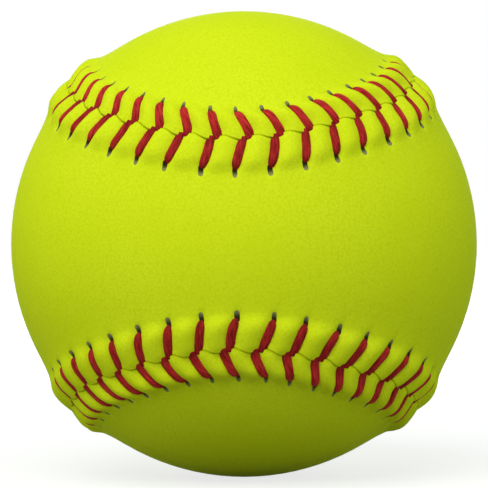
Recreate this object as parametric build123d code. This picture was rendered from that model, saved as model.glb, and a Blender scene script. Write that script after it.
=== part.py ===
"""Stitched twelve-inch softball: a moulded core, two leather cover panels and two lacing threads.

Millimetres. The origin is the ball's centre, +Z is up and -Y faces the waist of the front panel.
The front panel's lobes wrap to the left and right, the back panel's lobes to the top and bottom.
A place on the cover is given as: along the seam, reach to one side of it, height over the leather's
smooth surface. Reach is positive on the back panel and negative on the front panel.
"""

import os
from math import acos, asin, atan2, cos, degrees, pi, radians, sin, sqrt

from build123d import *

# Ball and leather
ball_circumference = 304.8
leather_thickness = 2.0
cement_film = 0.1

# Seam curve, in degrees: its lean where it changes sides and the half length of its straight runs
seam_lean = 5.4
straight_run = 25.0
edge_gap = 0.3

# Raised ridge on each side of the seam
ridge_height = 1.75
ridge_crest_reach = 3.3
ridge_radius = 6.5
ridge_root_radius = 5.0

# Lacing: a two-needle stitch of two threads that swap sides at every stitch
stitch_count = 88
first_stitch = 4.7
hole_reach = 6.6
hole_lag = 2.1
thread_diameter = 1.2
thread_sides = 6
thread_clearance = 0.1
thread_proud = 0.5
thread_tail = 3.0

FRONT, BACK = -1, 1
CENTRE = Vector(0, 0, 0)
PAST_MIDLINE = radians(60)

ball_radius = ball_circumference / (2 * pi)
core_radius = ball_radius - leather_thickness - cement_film
thread_radius = thread_diameter / 2
hole_radius = thread_radius + thread_clearance
dip_offset = hole_radius + thread_clearance


class Stretch:
    """One circular stretch of the seam, travelled anticlockwise about its axis."""

    def __init__(self, axis, first, last):
        self.axis = axis.normalized()
        self.latitude = asin(first.dot(self.axis))
        self.start = (first - self.axis * first.dot(self.axis)).normalized()
        self.ahead = self.axis.cross(self.start)
        self.sweep = atan2(last.dot(self.ahead), last.dot(self.start)) % (2 * pi)
        self.length = ball_radius * cos(self.latitude) * self.sweep

    def at(self, along, reach, height):
        turn = along / (ball_radius * cos(self.latitude))
        tilt = self.latitude + reach / ball_radius
        outward = self.start * cos(turn) + self.ahead * sin(turn)
        return (outward * cos(tilt) + self.axis * sin(tilt)) * (ball_radius + height)


def flipped(vector, x_sign, z_sign):
    return Vector(vector.X * x_sign, vector.Y, vector.Z * z_sign)


def seam_stretches():
    """Four arcs joined by four straight runs, in the order that the lacing travels."""
    lean, run = radians(seam_lean), radians(straight_run)
    corner = Vector(1, 0, 1).normalized()
    heading = Vector(-sin(lean) / sqrt(2), cos(lean), sin(lean) / sqrt(2))
    pole = corner.cross(heading)
    front = corner * cos(run) - heading * sin(run)
    back = corner * cos(run) + heading * sin(run)
    arc_angle = atan2(cos(run) + sin(run) * sin(lean), cos(lean))
    lobe = front * cos(arc_angle) + pole * sin(arc_angle)
    waist = Vector(-lobe.Z, lobe.Y, lobe.X)
    stretches = []
    for side in (1, -1):
        top_left, top_right = flipped(front, -side, side), flipped(front, side, side)
        back_top, back_low = flipped(back, side, side), flipped(back, side, -side)
        stretches += [
            Stretch(flipped(lobe, 1, side), top_left, top_right),
            Stretch(flipped(pole, side, side), top_right, back_top),
            Stretch(flipped(waist, side, 1), back_top, back_low),
            Stretch(flipped(pole, side, -side), back_low, flipped(front, side, -side)),
        ]
    return stretches


stretches = seam_stretches()
seam_length = sum(stretch.length for stretch in stretches)
pitch = seam_length / stitch_count


def seam_point(along, reach, height):
    along %= seam_length
    for stretch in stretches:
        if along <= stretch.length:
            return stretch.at(along, reach, height)
        along -= stretch.length


def polar(radius, angle):
    return Vector(radius * cos(angle), radius * sin(angle))


# The ridge is an arc about this point of the section, where the seam lies on the X axis
crest_angle = ridge_crest_reach / ball_radius
crest_depth = ball_radius + ridge_height - ridge_radius


def ridge_point(radius, reach):
    """Where the ray at this reach meets the ridge's arc of this radius."""
    turn = crest_angle - reach / ball_radius
    out = crest_depth * cos(turn) + sqrt(radius**2 - (crest_depth * sin(turn)) ** 2)
    return polar(out, reach / ball_radius)


def leather_height(reach):
    return ridge_point(ridge_radius, reach).length - ball_radius


# Each thread runs straight from the dip to its next hole, so it sags below the round of the core
under_span = sqrt(hole_reach**2 + (pitch - hole_lag) ** 2)
under_sag = under_span**2 / (8 * core_radius)
under_height = thread_radius + thread_clearance + under_sag - leather_thickness
ceiling_height = under_height + thread_radius + thread_clearance
ridge_thickness = leather_height(hole_reach) - ceiling_height


def surface_arcs(smooth_radius, arc_radius, root_radius, reach):
    """Edge point, ridge arc, root arc and smooth arc of one face of the leather, end to end."""
    root_depth = smooth_radius + root_radius
    span = arc_radius + root_radius
    cosine = (crest_depth**2 + root_depth**2 - span**2) / (2 * crest_depth * root_depth)
    root_angle = crest_angle + acos(cosine)
    crest, root = polar(crest_depth, crest_angle), polar(root_depth, root_angle)
    edge = ridge_point(arc_radius, edge_gap / 2)
    edge_turn = atan2(edge.Y - crest.Y, edge.X - crest.X)
    bend = atan2(root.Y - crest.Y, root.X - crest.X)
    arcs = [
        CenterArc(crest, arc_radius, degrees(edge_turn), degrees(bend - edge_turn)),
        CenterArc(root, root_radius, degrees(bend) + 180, degrees(root_angle - bend)),
        CenterArc(CENTRE, smooth_radius, degrees(root_angle), degrees(reach - root_angle)),
    ]
    return edge, arcs


def leather_section(reach):
    """The leather cut square to the seam, from its edge to an angle of reach away."""
    inner_radius = ball_radius - leather_thickness
    outer_edge, outer = surface_arcs(ball_radius, ridge_radius, ridge_root_radius, reach)
    inner_edge, inner = surface_arcs(
        inner_radius, ridge_radius - ridge_thickness, ridge_root_radius, reach
    )
    far_wall = Line(polar(ball_radius, reach), polar(inner_radius, reach))
    return make_face([Line(inner_edge, outer_edge), *outer, far_wall, *inner])


def panel_piece(stretch):
    """The back panel's leather along one stretch, out to its lobe's pole or to the midline."""
    is_lobe = stretch.latitude > radians(1)
    reach = pi / 2 - stretch.latitude if is_lobe else PAST_MIDLINE
    section_plane = Plane(CENTRE, x_dir=stretch.start, z_dir=stretch.start.cross(stretch.axis))
    section = section_plane * Rot(0, 0, degrees(stretch.latitude)) * leather_section(reach)
    piece = revolve(section, Axis(CENTRE, stretch.axis), degrees(stretch.sweep))
    if is_lobe:
        return piece
    on_right = stretch.at(stretch.length / 2, 0, 0).X > 0
    return split(piece, bisect_by=Plane.YZ, keep=Keep.TOP if on_right else Keep.BOTTOM)


def swept_tube(points, radius):
    """A straight-sided tube, mitred at each point."""
    start = Plane(points[0], z_dir=points[1] - points[0])
    section = start * RegularPolygon(radius, thread_sides)
    return sweep(section, path=Wire(Polyline(*points)), transition=Transition.RIGHT)


def half_stitch(number, side):
    """Up through the hole, over the ridge and down into the seam, on one panel."""
    middle = first_stitch + number * pitch
    hole = middle - hole_lag
    dip = middle + side * dip_offset
    over = dip + (hole - dip) * ridge_crest_reach / hole_reach
    sunk = thread_proud - thread_radius
    return [
        seam_point(hole, side * hole_reach, under_height),
        seam_point(hole, side * hole_reach, leather_height(hole_reach) + sunk),
        seam_point(over, side * ridge_crest_reach, ridge_height + sunk),
        seam_point(dip, 0, leather_height(0) + sunk),
        seam_point(dip, 0, under_height),
    ]


def stitch_hole(number, side):
    """A punched hole and the groove that the thread presses into the ridge."""
    return swept_tube(half_stitch(number, side)[:-1], hole_radius)


def seam_notch(number):
    """Room between the two edges for both threads of a stitch, side by side."""
    middle = first_stitch + number * pitch
    here, ahead = seam_point(middle, 0, 0), seam_point(middle + dip_offset, 0, 0)
    notch = Plane(here, x_dir=ahead - here, z_dir=here)
    return notch * Box(2 * (dip_offset + hole_radius), 2 * hole_radius, 4 * leather_thickness)


def thread_route(first_side):
    """One needle's whole way round the ball, with its two ends tucked under the leather."""
    points = []
    for number in range(stitch_count):
        side = first_side if number % 2 == 0 else -first_side
        points += half_stitch(number, side)
    closing = (points[0] - points[-1]).normalized()
    return [points[0] - closing * thread_tail, *points, points[-1] + closing * thread_tail]


plain_panel = Part() + [panel_piece(stretch) for stretch in stretches]
notches = [seam_notch(number) for number in range(stitch_count)]
half_turn = Axis(CENTRE, (1, 0, 1))


def laced_panel(panel, side):
    holes = [stitch_hole(number, side) for number in range(stitch_count)]
    return panel.cut(*holes, *notches)


parts = {
    "core": Sphere(core_radius),
    "cover_panel_back": laced_panel(plain_panel, BACK),
    "cover_panel_front": laced_panel(plain_panel.rotate(half_turn, 180), FRONT),
    "thread_one": swept_tube(thread_route(BACK), thread_radius),
    "thread_two": swept_tube(thread_route(FRONT), thread_radius),
}

os.makedirs("parts", exist_ok=True)
for name, shape in parts.items():
    export_step(shape, f"parts/{name}.step")
    print(name, round(shape.volume, 1), "mm3")
print("seam", round(seam_length, 1), "stitch pitch", round(pitch, 3))
print("leather at the ridge", round(ridge_thickness, 3), "ball radius", round(ball_radius, 3))
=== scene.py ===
# %% [markdown]
# # A stitched softball
# The ball is a moulded core, two leather panels of one shape and the two waxed threads that lace
# their edges together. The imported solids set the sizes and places, and the values of the ball, the
# seam and the stitches below repeat theirs. So this lesson only has to dress the solids, with
# puffed leather, pressed-in stitches and the finishes of leather and thread.

from math import asin, atan, atan2, ceil, cos, exp, floor, pi, radians, sin, sqrt

import bmesh
import bpy
from mathutils import Matrix, Vector


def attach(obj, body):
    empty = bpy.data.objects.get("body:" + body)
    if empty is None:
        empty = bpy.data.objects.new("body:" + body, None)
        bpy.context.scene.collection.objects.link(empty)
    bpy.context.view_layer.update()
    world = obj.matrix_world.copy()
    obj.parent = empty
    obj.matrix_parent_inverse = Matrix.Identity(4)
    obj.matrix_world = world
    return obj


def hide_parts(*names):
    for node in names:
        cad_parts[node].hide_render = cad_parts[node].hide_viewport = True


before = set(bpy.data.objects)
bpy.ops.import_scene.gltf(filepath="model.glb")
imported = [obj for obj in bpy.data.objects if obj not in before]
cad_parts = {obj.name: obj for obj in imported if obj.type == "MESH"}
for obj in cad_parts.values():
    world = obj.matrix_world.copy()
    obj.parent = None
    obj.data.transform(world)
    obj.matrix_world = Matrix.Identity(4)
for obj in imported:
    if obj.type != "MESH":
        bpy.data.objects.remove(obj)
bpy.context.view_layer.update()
print("solids:", sorted(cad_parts))

# %% [markdown]
# ## The seam
# A ball's cover has one endless seam, shaped like the line on a tennis ball. It could be drawn by
# hand, but then the two panels would not match. Here it is eight circular stretches on the sphere:
# an arc round each of the four lobes and a straight run between them. A place on the cover is then
# three plain numbers in millimetres: how far along the seam, how far to one side, and how high.

# %% One circular stretch
MM = 0.001
ball_circumference = 304.8
ball_radius = ball_circumference / (2 * pi)


class Stretch:
    """One circular stretch of the seam, travelled anticlockwise about its axis."""

    def __init__(self, axis, first, last):
        self.axis = axis.normalized()
        self.latitude = asin(first.dot(self.axis))
        self.start = (first - self.axis * first.dot(self.axis)).normalized()
        self.ahead = self.axis.cross(self.start)
        self.sweep = atan2(last.dot(self.ahead), last.dot(self.start)) % (2 * pi)
        self.ring_radius = ball_radius * cos(self.latitude)
        self.length = self.ring_radius * self.sweep

    def outward(self, along):
        turn = along / self.ring_radius
        return self.start * cos(turn) + self.ahead * sin(turn)

    def at(self, along, reach, height):
        tilt = self.latitude + reach / ball_radius
        direction = self.outward(along) * cos(tilt) + self.axis * sin(tilt)
        return direction * (ball_radius + height) * MM


print("ball radius", round(ball_radius, 2), "mm")

# %% Eight stretches, end to end
seam_lean = radians(5.4)
half_run = radians(25.0)


def flipped(vector, x_sign, z_sign):
    return Vector((vector.x * x_sign, vector.y, vector.z * z_sign))


corner = Vector((1, 0, 1)).normalized()
heading = Vector((-sin(seam_lean) / sqrt(2), cos(seam_lean), sin(seam_lean) / sqrt(2)))
run_axis = corner.cross(heading)
near = corner * cos(half_run) - heading * sin(half_run)
far = corner * cos(half_run) + heading * sin(half_run)
arc_angle = atan2(cos(half_run) + sin(half_run) * sin(seam_lean), cos(seam_lean))
lobe = near * cos(arc_angle) + run_axis * sin(arc_angle)
waist = Vector((-lobe.z, lobe.y, lobe.x))

stretches = []
for sign in (1, -1):
    stretches += [
        Stretch(flipped(lobe, 1, sign), flipped(near, -sign, sign), flipped(near, sign, sign)),
        Stretch(flipped(run_axis, sign, sign), flipped(near, sign, sign), flipped(far, sign, sign)),
        Stretch(flipped(waist, sign, 1), flipped(far, sign, sign), flipped(far, sign, -sign)),
        Stretch(flipped(run_axis, sign, -sign), flipped(far, sign, -sign), flipped(near, sign, -sign)),
    ]
seam_length = sum(stretch.length for stretch in stretches)


def seam_point(along, reach, height):
    along %= seam_length
    for stretch in stretches:
        if along <= stretch.length:
            return stretch.at(along, reach, height)
        along -= stretch.length
    return stretches[-1].at(stretches[-1].length, reach, height)


print("seam length", round(seam_length, 1), "mm in", len(stretches), "stretches")

# %% [markdown]
# ## How the lacing shapes the leather
# The panels' edges stand up in a soft ridge where they meet. Each stitch is pulled tight, so it
# presses a groove across the ridge, draws the leather down at its holes and leaves a little pillow
# on each side. The pull also sways the seam at every stitch and bows it in slow waves. All of it
# could be sculpted by hand, but it repeats 88 times, so it is written as a few smooth formulas of
# the distance to the nearest stitch.

# %% Where the stitches lie
FRONT, BACK = -1, 1
stitch_count = 88
pitch = seam_length / stitch_count
first_stitch = 4.7
hole_reach = 6.6
hole_lag = 2.1
dip_offset = 0.75
thread_end = 5.4
thread_bow = {FRONT: 0.12, BACK: 0.28}
bow_swing = 0.16
bow_waves = 33
# Size in mm, number of waves round the ball, and where each set of waves begins
drift_waves = [(0.16, 29, 0.0), (0.1, 41, 1.3)]


def ease(value, low, high):
    """0 below low, 1 above high, and a smooth climb between."""
    t = min(max((value - low) / (high - low), 0.0), 1.0)
    return t * t * (3 - 2 * t)


def seam_turn(along):
    """An angle that goes round once while the seam goes round the ball."""
    return 2 * pi * along / seam_length


def hand_drift(along):
    """The lacing is pulled by hand, so stitches lean a little more or less, in mm."""
    turn = seam_turn(along)
    return sum(size * sin(waves * turn + begin) for size, waves, begin in drift_waves)


def stitch_line(along, reach, side):
    """How far ahead of its stitch's middle the thread lies at this reach."""
    share = reach / hole_reach
    bow = thread_bow[side] + bow_swing * sin(bow_waves * seam_turn(along) + side)
    bend = bow * max(1 - (2 * reach / thread_end - 1) ** 2, 0.0)
    return side * dip_offset * (1 - share) - hole_lag * share + bend


def stitch_number(along, reach, side):
    """A whole number on the thread of each stitch, and halves between them."""
    drift = hand_drift(along) * ease(reach, 0, hole_reach)
    return (along - first_stitch - stitch_line(along, reach, side) - drift) / pitch


def stitch_offset(along, reach, side):
    """Distance to the nearest stitch's thread, in mm."""
    number = stitch_number(along, reach, side)
    return abs(number - floor(number + 0.5)) * pitch


print(stitch_count, "stitches,", round(pitch, 3), "mm apart")

# %% How the pull bends the seam
sway_width = 0.42
sway_fade = (0.5, 6.0)
wander_width = 0.55
wander_waves = 10
wander_fade = (7.0, 18.0)


def waist_turn(along):
    """The seam's turn, counted from the middle of its first arc, over the front panel's waist."""
    return seam_turn(along - stretches[0].length / 2)


def seam_sway(along):
    """The two threads of each stitch pull the seam to one side and then to the other."""
    return sway_width * sin(2 * pi * (along - first_stitch) / pitch)


def seam_wander(along):
    """A laced seam bends a little more sharply than plain arcs, in slow waves round the ball."""
    return -wander_width * cos(wander_waves * waist_turn(along))


def sideways(along, reach):
    """How far the lacing has pulled this place towards the back panel, in mm."""
    sway = seam_sway(along) * (1 - ease(reach, *sway_fade))
    return sway + seam_wander(along) * (1 - ease(reach, *wander_fade))


print("seam sways", sway_width, "mm and bows", wander_width, "mm in", wander_waves, "waves")

# %% [markdown]
# ## Ridge, pillows and holes
# On the seam's arcs both ridges fall away more steeply than on its straight runs, and the front
# panel's ridge is lower too. Two ridges joined by hand would show where they meet, so some values
# are pairs instead, one for the middle of an arc and one for a straight run, and a slow wave leads
# from one to the other. Where the edges meet, the pillows of both panels share most of their
# height, so that neither edge stands far over the other.

# %% Ridge and pillows
arc_count = 4
valley_height = 0.99
crest_reach = 3.6
crest_height = {FRONT: (0.95, 1.5), BACK: (1.5, 1.5)}
outer_slope = {FRONT: (3.2, 4.7), BACK: (3.0, 4.0)}
groove_half = 0.62
pillow_roundness = 0.85
seam_blend = 1.4
seam_share = 0.6


def bell(distance, width):
    return exp(-((distance / width) ** 2))


def arc_to_run(along, pair):
    """The first value at the middle of each arc and the second on each straight run."""
    share = 0.5 - 0.5 * cos(arc_count * waist_turn(along))
    return pair[0] + (pair[1] - pair[0]) * share


def ridge(along, reach, side):
    """Height of the raised edge: a valley at the seam, a crest and a slope down to the ball."""
    crest = arc_to_run(along, crest_height[side])
    if reach < crest_reach:
        return valley_height + (crest - valley_height) * ease(reach, 0.0, crest_reach)
    return crest * bell(reach - crest_reach, arc_to_run(along, outer_slope[side]))


def swell(offset):
    """0 beside a stitch and 1 half way to the next, with the steep sides of a stuffed cushion."""
    share = (offset - groove_half) / (pitch / 2 - groove_half)
    return sin(pi / 2 * min(max(share, 0.0), 1.0)) ** pillow_roundness


def puffed(along, reach, side):
    """The swell of this place; where the edges meet, both panels share one height."""
    level = swell(stitch_offset(along, reach, side))
    if reach > seam_blend:
        return level
    shared = sum(swell(stitch_offset(along, 0.0, edge)) for edge in (FRONT, BACK)) / 2
    return level + (shared - level) * seam_share * (1 - ease(reach, 0.0, seam_blend))


print("ridge", round(ridge(0.0, crest_reach, FRONT), 2), "mm high where the seam starts")

# %% Grooves, holes and the whole height
groove_depth = 0.5
pillow_height = 1.05
pillow_start = 4.8
pillow_end = {FRONT: (7.4, 8.4), BACK: (7.6, 7.6)}
hole_middle = {FRONT: 6.6, BACK: 6.45}
drawn_depth = 0.16
drawn_reach = 6.8
drawn_width = 1.3
slack_share = 0.6
slack_span = (0.5, 2.8)


def dent(offset, reach, depth, width, middle, length):
    """A smooth hollow on the line of a thread."""
    return depth * bell(offset, width) * bell(reach - middle, length)


def leather_height(along, reach, side):
    """Height over the smooth ball, in mm."""
    offset = stitch_offset(along, reach, side)
    laced = 1 - ease(reach, pillow_start, arc_to_run(along, pillow_end[side]))
    pillow = laced * (pillow_height * puffed(along, reach, side) - groove_depth)
    tight = 1 - slack_share * ease(offset, *slack_span)
    drawn_in = drawn_depth * bell(reach - drawn_reach, drawn_width) * tight
    crease = dent(offset, reach, depth=0.08, width=0.6, middle=8.2, length=1.7)
    pit = dent(offset, reach, depth=0.45, width=0.5, middle=hole_middle[side], length=0.95)
    return ridge(along, reach, side) + pillow - drawn_in - crease - pit


print("leather", round(leather_height(0.0, crest_reach, FRONT), 2), "mm high at the same place")

# %% [markdown]
# ## The leather panels
# Each panel is one piece of leather cut like a figure of eight. It could be a sphere cut in two, but
# then its edge would have no thickness and its mesh would not follow the seam. So the panel is
# built as the cover is laced, from its edge inwards: a flat grid is laid along each stretch of the
# seam, its rows are wrapped over the ball until they meet at the lobe's pole or the panel's midline,
# and every vertex is lifted by the formulas above. The first rows go down inside the seam, so the
# leather shows a rounded, cut edge.

# %% One section of leather
edge_gap = 0.06
# Reach from the edge and depth below the leather's own height, from inside the seam outwards
edge_rows = [(-0.03, -2.2), (-0.03, -0.9), (-0.025, -0.2), (0.0, -0.06), (0.08, -0.01)]
row_width = 0.32
close_row_count = 31
close_rows = [(row_width + row_width * row, 0.0) for row in range(close_row_count)]
fixed_rows = edge_rows + close_rows
free_reach = edge_gap / 2 + close_rows[-1][0]
free_rows = 11


def leather_row(row, far_reach):
    """Reach and sink of one row, from deep in the seam to the far end of the panel."""
    if row < len(fixed_rows):
        reach, sink = fixed_rows[row]
        return edge_gap / 2 + reach, sink
    share = (row - len(fixed_rows) + 1) / free_rows
    return free_reach + share * (far_reach - free_reach), 0.0


row_count = len(fixed_rows) + free_rows
print(row_count, "rows of vertices across half a panel")

# %% Lay a grid along the seam
column_width = 0.31
least_lobe_latitude = 0.1
laced_reach = 14


def panel_end(stretch, along, side):
    """Reach of the lobe's pole, or of the midline: x = 0 on the back panel, z = 0 on the front."""
    if side * stretch.latitude > least_lobe_latitude:
        return (pi / 2 - abs(stretch.latitude)) * ball_radius
    out, axis = stretch.outward(along), stretch.axis
    tilt = atan(-out.x / axis.x) if side == BACK else atan(-out.z / axis.z)
    return side * (tilt - stretch.latitude) * ball_radius


def wrapped_stretch(bm, uv, stretch, begin, side):
    """One stretch of a panel, as a grid wrapped from the panel's edge to its pole or midline."""
    first_face = len(bm.faces)
    columns = ceil(stretch.length / column_width)
    grid = bmesh.ops.create_grid(bm, x_segments=columns, y_segments=row_count - 1, size=0.5)
    place = {}
    for vert in grid["verts"]:
        along = (vert.co.x + 0.5) * stretch.length
        row = round((vert.co.y + 0.5) * (row_count - 1))
        reach, sink = leather_row(row, panel_end(stretch, along, side))
        whole = begin + along
        place[vert] = (stitch_number(whole, reach, side), reach / hole_middle[side])
        lift = leather_height(whole, reach, side) if reach < laced_reach else 0.0
        vert.co = stretch.at(along, side * reach + sideways(whole, reach), sink + lift)
    bm.faces.ensure_lookup_table()
    for face in bm.faces[first_face:]:
        for corner_loop in face.loops:
            corner_loop[uv].uv = place[corner_loop.vert]


print("columns", column_width, "mm wide")

# %% Two panels
weld_distance = 2e-6


def add_object(name, data):
    made = bpy.data.objects.new(name, data)
    bpy.context.scene.collection.objects.link(made)
    return made


def leather_panel(name, side):
    bm = bmesh.new()
    uv = bm.loops.layers.uv.new("lacing")
    begin = 0.0
    for stretch in stretches:
        wrapped_stretch(bm, uv, stretch, begin, side)
        begin += stretch.length
    bmesh.ops.remove_doubles(bm, verts=bm.verts, dist=weld_distance)
    bmesh.ops.recalc_face_normals(bm, faces=bm.faces)
    outer = max(bm.faces, key=lambda face: face.calc_center_median().length)
    if outer.normal.dot(outer.calc_center_median()) < 0:
        bmesh.ops.reverse_faces(bm, faces=bm.faces)
    for face in bm.faces:
        face.smooth = True
    mesh = bpy.data.meshes.new(name)
    bm.to_mesh(mesh)
    loose = sum(edge.is_boundary for edge in bm.edges)
    bm.free()
    print(name, len(mesh.polygons), "faces,", loose, "edges along the cut")
    return add_object(name, mesh)


panel_front = leather_panel("leather_panel_front", FRONT)
panel_back = leather_panel("leather_panel_back", BACK)

# %% [markdown]
# ## The lacing
# Two needles work together: each thread comes up through a hole in one panel, goes over the ridge,
# dives into the seam, passes under the other panel's edge and comes up through its next hole. The
# chevrons could be short separate tubes, but really they are two unbroken threads, so each is one
# smooth curve through a few points per stitch. The curve's round bevel makes the tube, and the tube
# is then flattened against the ball, because a pulled thread spreads on the leather.

# %% The route of one thread
under_leather = -1.2
hole_slack = 0.1
# Reach from the seam and height over the ridge in mm, and share of the thread's full width
route_over = [
    (5.50, -1.50, 0.72),
    (5.50, -0.95, 0.74),
    (5.15, -0.50, 0.85),
    (4.40, -0.39, 0.98),
    (3.30, -0.39, 1.0),
    (1.90, -0.39, 1.0),
    (0.90, -0.39, 1.03),
    (0.20, -0.49, 1.08),
    (-0.40, -0.85, 1.12),
    (-0.75, -1.40, 0.95),
]
width_in_hole = route_over[0][2]


def half_stitch(number, side):
    """Places and widths up through a hole, over the ridge and down into the seam."""
    middle = first_stitch + number * pitch
    points = []
    for reach, lift, width in route_over:
        drift = hand_drift(middle) * ease(reach, 0, hole_reach)
        along = middle + stitch_line(middle, reach, side) + drift
        across = side * reach + sideways(along, reach)
        points.append((seam_point(along, across, ridge(along, reach, side) + lift), width))
    start = middle + stitch_line(middle, thread_end, side) + hand_drift(middle)
    start_across = side * (thread_end + hole_slack) + seam_wander(start)
    rising = seam_point(start, start_across, under_leather)
    return [(rising, width_in_hole), *points]


def thread_route(first_side):
    route = []
    for number in range(stitch_count):
        route += half_stitch(number, first_side if number % 2 == 0 else -first_side)
    return route


print(len(thread_route(BACK)), "points on each thread's route")

# %% Tubes along the routes
thread_width = 1.92
tube_resolution = 4
curve_steps = 3


def route_curve(name, route):
    curve = bpy.data.curves.new(name, "CURVE")
    curve.dimensions = "3D"
    curve.twist_mode = "MINIMUM"
    curve.resolution_u = curve_steps
    spline = curve.splines.new("NURBS")
    spline.points.add(len(route) - 1)
    for point, (co, width) in zip(spline.points, route):
        point.co = (*co, 1.0)
        point.radius = width
    spline.order_u = 3
    spline.use_endpoint_u = True
    return curve


def made_mesh(holder):
    graph = bpy.context.evaluated_depsgraph_get()
    return bpy.data.meshes.new_from_object(holder.evaluated_get(graph), depsgraph=graph)


def lacing_thread(name, first_side):
    """The thread's tube, and the points of the smooth line along its middle."""
    curve = route_curve(name, thread_route(first_side))
    holder = add_object(name + "_route", curve)
    line = made_mesh(holder)
    middle = [vert.co.copy() for vert in line.vertices]
    curve.bevel_depth = thread_width / 2 * MM
    curve.bevel_resolution = tube_resolution
    curve.use_fill_caps = True
    mesh = made_mesh(holder)
    bpy.data.objects.remove(holder)
    bpy.data.meshes.remove(line)
    mesh.name = name
    return add_object(name, mesh), middle


thread_one, middle_one = lacing_thread("lacing_thread_one", BACK)
thread_two, middle_two = lacing_thread("lacing_thread_two", FRONT)
print("rings", len(middle_one), "vertices", len(thread_one.data.vertices))

# %% Press the threads flat and mark their lay
thread_flatness = 0.56
level_span = (0.1, 0.6)
ply_turn = 4.2


def press_flat(thread, middle):
    """Squeeze each ring towards the ball and note where each vertex lies on the thread."""
    mesh = thread.data
    sides = len(mesh.vertices) // len(middle)
    mesh.attributes.new("lay", "FLOAT_VECTOR", "POINT")
    mesh.attributes.new("height", "FLOAT", "POINT")
    lay, height = mesh.attributes["lay"], mesh.attributes["height"]
    run = 0.0
    for ring, centre in enumerate(middle):
        if ring:
            run += (centre - middle[ring - 1]).length / MM
        up = centre.normalized()
        ahead = middle[min(ring + 1, len(middle) - 1)] - middle[max(ring - 1, 0)]
        level = 1 - abs(ahead.normalized().dot(up))
        squeeze = 1 - (1 - thread_flatness) * ease(level, *level_span)
        for index in range(ring * sides, (ring + 1) * sides):
            vert = mesh.vertices[index]
            offset = vert.co - centre
            rise = offset.dot(up)
            vert.co = centre + offset + up * rise * (squeeze - 1)
            turn = 2 * pi * (index - ring * sides) / sides + run / ply_turn
            lay.data[index].vector = (run, cos(turn), sin(turn))
            height.data[index].value = centre.length / MM - ball_radius
    for polygon in mesh.polygons:
        polygon.use_smooth = True
    print(thread.name, round(run), "mm long,", len(mesh.polygons), "faces")


press_flat(thread_one, middle_one)
press_flat(thread_two, middle_two)

# %% [markdown]
# ## Finishes
# Colours are measured as they look on a screen, and shaders want linear light, so a small helper
# turns one into the other. Each finish could have its own noise nodes, but leather, thread and foam
# all need the same two things, a slow change of shade and a fine grain. So one shared node group
# gives both, with other values in each material.

# %% Screen colours as light


def shade(red, green, blue):
    """Screen colour, 0 to 255, as linear light."""
    parts = [c / 255 for c in (red, green, blue)]
    linear = [c / 12.92 if c < 0.04045 else ((c + 0.055) / 1.055) ** 2.4 for c in parts]
    return (*linear, 1.0)


print("a middle grey on the screen is", round(shade(128, 128, 128)[0], 3), "of white light")

# %% The shared grain group
mottle_detail = 4.0
mottle_span = (0.3, 0.7)


def grain_group():
    tree = bpy.data.node_groups.new("mottle_and_grain", "ShaderNodeTree")
    sockets = [
        ("Vector", "INPUT", "NodeSocketVector"),
        ("Mottle Scale", "INPUT", "NodeSocketFloat"),
        ("Grain Scale", "INPUT", "NodeSocketFloat"),
        ("Light", "INPUT", "NodeSocketColor"),
        ("Dark", "INPUT", "NodeSocketColor"),
        ("Color", "OUTPUT", "NodeSocketColor"),
        ("Height", "OUTPUT", "NodeSocketFloat"),
    ]
    for name, way, kind in sockets:
        tree.interface.new_socket(name, in_out=way, socket_type=kind)
    nodes, links = tree.nodes, tree.links
    ins, outs = nodes.new("NodeGroupInput"), nodes.new("NodeGroupOutput")
    mottle, grain = nodes.new("ShaderNodeTexNoise"), nodes.new("ShaderNodeTexVoronoi")
    mottle.inputs["Detail"].default_value = mottle_detail
    mix = nodes.new("ShaderNodeMix")
    mix.data_type = "RGBA"
    links.new(ins.outputs["Vector"], mottle.inputs["Vector"])
    links.new(ins.outputs["Vector"], grain.inputs["Vector"])
    links.new(ins.outputs["Mottle Scale"], mottle.inputs["Scale"])
    links.new(ins.outputs["Grain Scale"], grain.inputs["Scale"])
    spread = nodes.new("ShaderNodeMapRange")
    spread.inputs["From Min"].default_value = mottle_span[0]
    spread.inputs["From Max"].default_value = mottle_span[1]
    links.new(mottle.outputs["Fac"], spread.inputs["Value"])
    links.new(spread.outputs["Result"], mix.inputs["Factor"])
    links.new(ins.outputs["Dark"], mix.inputs["A"])
    links.new(ins.outputs["Light"], mix.inputs["B"])
    links.new(mix.outputs["Result"], outs.inputs["Color"])
    links.new(grain.outputs["Distance"], outs.inputs["Height"])
    return tree


mottle_and_grain = grain_group()
print("shared group:", mottle_and_grain.name)

# %% A new material and its grain


def new_material(name):
    material = bpy.data.materials.new(name)
    material.use_nodes = True
    return material, material.node_tree, material.node_tree.nodes["Principled BSDF"]


def place_grain(tree, vector, mottle_scale, grain_scale, light, dark):
    node = tree.nodes.new("ShaderNodeGroup")
    node.node_tree = mottle_and_grain
    tree.links.new(vector, node.inputs["Vector"])
    node.inputs["Mottle Scale"].default_value = mottle_scale
    node.inputs["Grain Scale"].default_value = grain_scale
    node.inputs["Light"].default_value = light
    node.inputs["Dark"].default_value = dark
    return node


print("each material starts from a Principled BSDF")

# %% Masks, mixes and bumps


def worked_out(tree, operation, first, second, third=None):
    """A Math node; each input is a socket or a number."""
    node = tree.nodes.new("ShaderNodeMath")
    node.operation = operation
    for socket, value in zip(node.inputs, (first, second, third)):
        if isinstance(value, (int, float)):
            socket.default_value = value
        elif value is not None:
            tree.links.new(value, socket)
    return node.outputs["Value"]


def fade(tree, value, low, high):
    """1 below low, 0 above high, eased between."""
    node = tree.nodes.new("ShaderNodeMapRange")
    node.interpolation_type = "SMOOTHSTEP"
    node.inputs["From Min"].default_value = low
    node.inputs["From Max"].default_value = high
    node.inputs["To Min"].default_value = 1.0
    node.inputs["To Max"].default_value = 0.0
    tree.links.new(value, node.inputs["Value"])
    return node.outputs["Result"]


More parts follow.
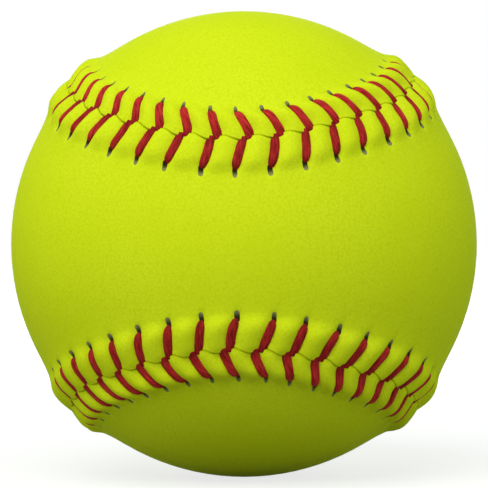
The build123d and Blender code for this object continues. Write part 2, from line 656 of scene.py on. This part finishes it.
def mixed(tree, factor, under, over):
    """Over laid on under where the mask is 1; each is a socket or a colour."""
    node = tree.nodes.new("ShaderNodeMix")
    node.data_type = "RGBA"
    tree.links.new(factor, node.inputs["Factor"])
    for socket, value in ((node.inputs["A"], under), (node.inputs["B"], over)):
        if isinstance(value, tuple):
            socket.default_value = value
        else:
            tree.links.new(value, socket)
    return node.outputs["Result"]


def bumped(tree, shader, height, strength, distance):
    node = tree.nodes.new("ShaderNodeBump")
    node.inputs["Strength"].default_value = strength
    node.inputs["Distance"].default_value = distance
    tree.links.new(height, node.inputs["Height"])
    tree.links.new(node.outputs["Normal"], shader.inputs["Normal"])


print("helpers for masks, mixes and bumps are ready")

# %% [markdown]
# ## Leather
# The cover is smooth, fluorescent yellow leather with a very fine grain, a little darker in the
# creases of the grain, and painted shade darkens it along its cut edge in the seam. The punched
# holes could be cut into the mesh, but they would need many small faces. The panels carry a UV map
# instead, whose first number counts stitches and whose second is 0 at the seam and 1 at the holes.
# So the holes are drawn sharp at any size, as a rounded slot just past the end of each thread, over
# a pit in the mesh. A slot is painted nearly black at the thread, as the shade inside the hole, and
# greyer at its tip, where the cut leather shows.

# %% Leather with its grain
leather, tree, surface = new_material("yellow_leather")
coords = tree.nodes.new("ShaderNodeTexCoord")
grain = place_grain(
    tree,
    coords.outputs["Object"],
    mottle_scale=55.0,
    grain_scale=2000.0,
    light=shade(220, 237, 38),
    dark=shade(213, 232, 26),
)
creased = mixed(tree, grain.outputs["Height"], grain.outputs["Color"], shade(205, 222, 20))
bumped(tree, surface, grain.outputs["Height"], strength=0.3, distance=0.0001)
surface.inputs["Roughness"].default_value = 0.72
surface.inputs["Specular IOR Level"].default_value = 0.02
print(leather.name, "has its grain")

# %% Cut edge and punched holes, with painted shade
slit_lean = -0.26
slit_half_width = 0.46
slit_half_length = 1.12
slit_rim = (0.75, 1.1)
slit_shade_span = (-0.3, 0.9)
painted_seam_shade_reach = (0.02, 0.34)

uv_map = tree.nodes.new("ShaderNodeUVMap")
uv_map.uv_map = "lacing"
split = tree.nodes.new("ShaderNodeSeparateXYZ")
tree.links.new(uv_map.outputs["UV"], split.inputs["Vector"])
shifted = worked_out(tree, "ADD", split.outputs["X"], 0.5)
phase = worked_out(tree, "SUBTRACT", worked_out(tree, "FRACT", shifted, 0.0), 0.5)
offset_mm = worked_out(tree, "MULTIPLY", phase, pitch)
reach_mm = worked_out(tree, "MULTIPLY", split.outputs["Y"], hole_middle[BACK])
past_hole = worked_out(tree, "SUBTRACT", reach_mm, hole_middle[BACK])
leaning = worked_out(tree, "MULTIPLY_ADD", past_hole, slit_lean, offset_mm)
across = worked_out(tree, "POWER", worked_out(tree, "DIVIDE", leaning, slit_half_width), 2.0)
lengthwise = worked_out(tree, "POWER", worked_out(tree, "DIVIDE", past_hole, slit_half_length), 4.0)
hole = fade(tree, worked_out(tree, "ADD", across, lengthwise), *slit_rim)
# Painted shade: the slot is near-black at the thread, as the shade inside the hole, and greyer at its
# tip, the cut leather's own colour.
deep = fade(tree, past_hole, *slit_shade_span)
slit_cut_and_shade = mixed(tree, deep, shade(136, 138, 88), shade(48, 41, 24))
# Painted shade: the leather is darkened along its cut edge, in the seam between the panels.
painted_seam_shade = fade(tree, reach_mm, *painted_seam_shade_reach)
leather_and_seam_shade = mixed(tree, painted_seam_shade, creased, shade(176, 190, 4))
tree.links.new(mixed(tree, hole, leather_and_seam_shade, slit_cut_and_shade), surface.inputs["Base Color"])
print(leather.name, "with", len(tree.nodes), "nodes")

# %% [markdown]
# ## Waxed thread
# The lacing is crimson waxed thread of a few twisted plies. The fibres could be strands of their
# own, but they are far finer than the thread's mesh. So each vertex of a thread knows how far along
# it lies and which way round, turned a little more with every millimetre, and noise stretched along
# that direction gives fibres that wind round the thread. Each vertex also knows its height, so that
# painted shade darkens the thread where it dips into a hole or the seam.

# %% The thread's material
fibre_stretch = (0.3, 2.0, 2.0)
tuck_shade_height = (0.3, 1.0)
tuck_shade_share = 0.5

thread_finish, tree, surface = new_material("crimson_thread")
lay = tree.nodes.new("ShaderNodeAttribute")
lay.attribute_name = "lay"
stretched = tree.nodes.new("ShaderNodeMapping")
stretched.inputs["Scale"].default_value = fibre_stretch
tree.links.new(lay.outputs["Vector"], stretched.inputs["Vector"])
grain = place_grain(
    tree,
    stretched.outputs["Vector"],
    mottle_scale=1.8,
    grain_scale=2.4,
    light=shade(225, 60, 57),
    dark=shade(122, 15, 17),
)
height = tree.nodes.new("ShaderNodeAttribute")
height.attribute_name = "height"
# Painted shade: the thread's colour is darkened where it lies low, dipping into a hole or the seam.
low = fade(tree, height.outputs["Fac"], *tuck_shade_height)
painted_tuck_shade = worked_out(tree, "MULTIPLY", low, tuck_shade_share)
thread_colour = mixed(tree, painted_tuck_shade, grain.outputs["Color"], shade(84, 5, 8))
tree.links.new(thread_colour, surface.inputs["Base Color"])
bumped(tree, surface, grain.outputs["Height"], strength=0.6, distance=0.0003)
surface.inputs["Roughness"].default_value = 0.62
surface.inputs["Specular IOR Level"].default_value = 0.05
print(thread_finish.name, "with", len(tree.nodes), "nodes")

# %% [markdown]
# ## Core
# The core is moulded polyurethane foam with a tight skin. The cover hides it, but the part may be
# taken apart, so it keeps its solid and gets its own finish: cream foam with small pores.

# %% The core's material
foam, tree, surface = new_material("core_foam")
coords = tree.nodes.new("ShaderNodeTexCoord")
grain = place_grain(
    tree,
    coords.outputs["Object"],
    mottle_scale=40.0,
    grain_scale=900.0,
    light=shade(226, 214, 178),
    dark=shade(204, 188, 146),
)
tree.links.new(grain.outputs["Color"], surface.inputs["Base Color"])
bumped(tree, surface, grain.outputs["Height"], strength=0.3, distance=0.0003)
surface.inputs["Roughness"].default_value = 0.8
print(foam.name, "with", len(tree.nodes), "nodes")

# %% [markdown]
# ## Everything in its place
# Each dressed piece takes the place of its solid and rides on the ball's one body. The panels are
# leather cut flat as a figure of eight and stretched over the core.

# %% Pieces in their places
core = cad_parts["core"]
core.data.materials.clear()
core.data.materials.append(foam)

dressed = [
    (panel_front, "cover_panel_front", "cover_leather", leather),
    (panel_back, "cover_panel_back", "cover_leather", leather),
    (thread_one, "thread_one", "lacing", thread_finish),
    (thread_two, "thread_two", "lacing", thread_finish),
]
for piece, node, slot_name, finish in dressed:
    piece.data.materials.append(finish)
    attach(piece, "root")
    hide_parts(node)

print(len(dressed), "dressed pieces over", core.name)

# %% [markdown]
# ## Studio
# The ball rests on a pale floor that fades to white a little way off, with white behind it. A white
# world could do that alone, but it would light the ball too. So the white comes from the light path:
# only rays that show the floor or the world see it, straight or in a reflection. One large lamp,
# faintly pink, stands high in front and a little to the left. Weak lamps, faintly green, fill the
# left, the right and the back, and the world adds a little green light from all round, because in
# the photograph the leather is greener in the shade.

# %% The floor
floor_radius = 6.0
dim_reach = (0.06, 0.5)
dim_share = -0.24


def seen_ray(tree):
    """1 for rays that show a surface to the camera, 0 for rays that only carry light."""
    rays = tree.nodes.new("ShaderNodeLightPath").outputs
    bent = worked_out(tree, "MAXIMUM", rays["Is Glossy Ray"], rays["Is Transmission Ray"])
    return worked_out(tree, "MAXIMUM", rays["Is Camera Ray"], bent)


bm = bmesh.new()
bmesh.ops.create_circle(bm, cap_ends=True, segments=96, radius=floor_radius)
bmesh.ops.translate(bm, verts=bm.verts, vec=(0, 0, -ball_radius * MM))
floor_mesh = bpy.data.meshes.new("studio_floor")
bm.to_mesh(floor_mesh)
bm.free()
studio_floor = add_object("studio_floor", floor_mesh)

pale, tree, surface = new_material("pale_floor")
surface.inputs["Base Color"].default_value = shade(150, 150, 150)
surface.inputs["Roughness"].default_value = 0.9
surface.inputs["Specular IOR Level"].default_value = 0.0
coords = tree.nodes.new("ShaderNodeTexCoord")
away = tree.nodes.new("ShaderNodeVectorMath")
away.operation = "LENGTH"
tree.links.new(coords.outputs["Object"], away.inputs[0])
near_ball = fade(tree, away.outputs["Value"], *dim_reach)
level = worked_out(tree, "MULTIPLY_ADD", near_ball, dim_share, 1.0)
glow = tree.nodes.new("ShaderNodeEmission")
tree.links.new(worked_out(tree, "MULTIPLY", seen_ray(tree), level), glow.inputs["Strength"])
both = tree.nodes.new("ShaderNodeAddShader")
tree.links.new(surface.outputs["BSDF"], both.inputs[0])
tree.links.new(glow.outputs["Emission"], both.inputs[1])
tree.links.new(both.outputs["Shader"], tree.nodes["Material Output"].inputs["Surface"])
studio_floor.data.materials.append(pale)
print("floor at", round(-ball_radius, 2), "mm")

# %% The world
around_light = 0.36
around_tint = (0.8, 1.0, 0.82, 1.0)
white = (1.0, 1.0, 1.0, 1.0)

world = bpy.data.worlds.new("studio_world")
bpy.context.scene.world = world
world.use_nodes = True
tree = world.node_tree
sky = tree.nodes["Background"]
seen = seen_ray(tree)
tree.links.new(mixed(tree, seen, around_tint, white), sky.inputs["Color"])
strength = worked_out(tree, "MULTIPLY_ADD", seen, 1.0 - around_light, around_light)
tree.links.new(strength, sky.inputs["Strength"])
print("light all round", around_light)

# %% Lamps
key_tint = (1.0, 0.95, 0.98)
fill_tint = (0.94, 1.0, 0.92)


def soft_lamp(name, place, size, power, tint):
    lamp = bpy.data.lights.new(name, "AREA")
    lamp.color = tint
    lamp.shape = "DISK"
    lamp.size = size
    lamp.energy = power
    holder = add_object(name, lamp)
    holder.location = place
    holder.rotation_euler = (-Vector(place)).to_track_quat("-Z", "Y").to_euler()


soft_lamp("key_lamp", (-0.22, -0.84, 0.91), size=1.1, power=12.3, tint=key_tint)
soft_lamp("left_fill", (-0.95, -0.45, 0.15), size=0.8, power=2.1, tint=fill_tint)
soft_lamp("right_fill", (0.95, -0.45, 0.15), size=0.8, power=2.1, tint=fill_tint)
soft_lamp("back_fill", (0.0, 1.1, 0.15), size=0.9, power=4.0, tint=fill_tint)
print("four soft lamps")

# %% [markdown]
# ## Camera
# The photograph looks straight at the front panel's waist, level with the ball and a little from
# the right. The lens could be found by trying, but the ball is a sphere, so it is worked out from how
# much of the picture the ball fills.

# %% The camera
view_distance = 0.49
view_turn = radians(1.83)
view_roll = radians(0.49)
sensor_width = 36.0
# In pixels of the photograph
picture_width = 488
ball_width = 2 * 232.9

place = Vector((sin(view_turn), -cos(view_turn), 0.0)) * view_distance
camera_data = bpy.data.cameras.new("photo_camera")
camera_data.sensor_width = sensor_width
tangent_length = sqrt(view_distance**2 - (ball_radius * MM) ** 2)
half_share = ball_width / picture_width / 2
camera_data.lens = sensor_width * half_share * tangent_length / (ball_radius * MM)
camera = add_object("photo_camera", camera_data)
facing = (-place).to_track_quat("-Z", "Y").to_matrix().to_4x4()
camera.matrix_world = Matrix.Translation(place) @ facing @ Matrix.Rotation(-view_roll, 4, "Z")
bpy.context.scene.camera = camera
bpy.context.scene.view_settings.view_transform = "Standard"
print("lens", round(camera_data.lens, 1), "mm at", view_distance, "m")
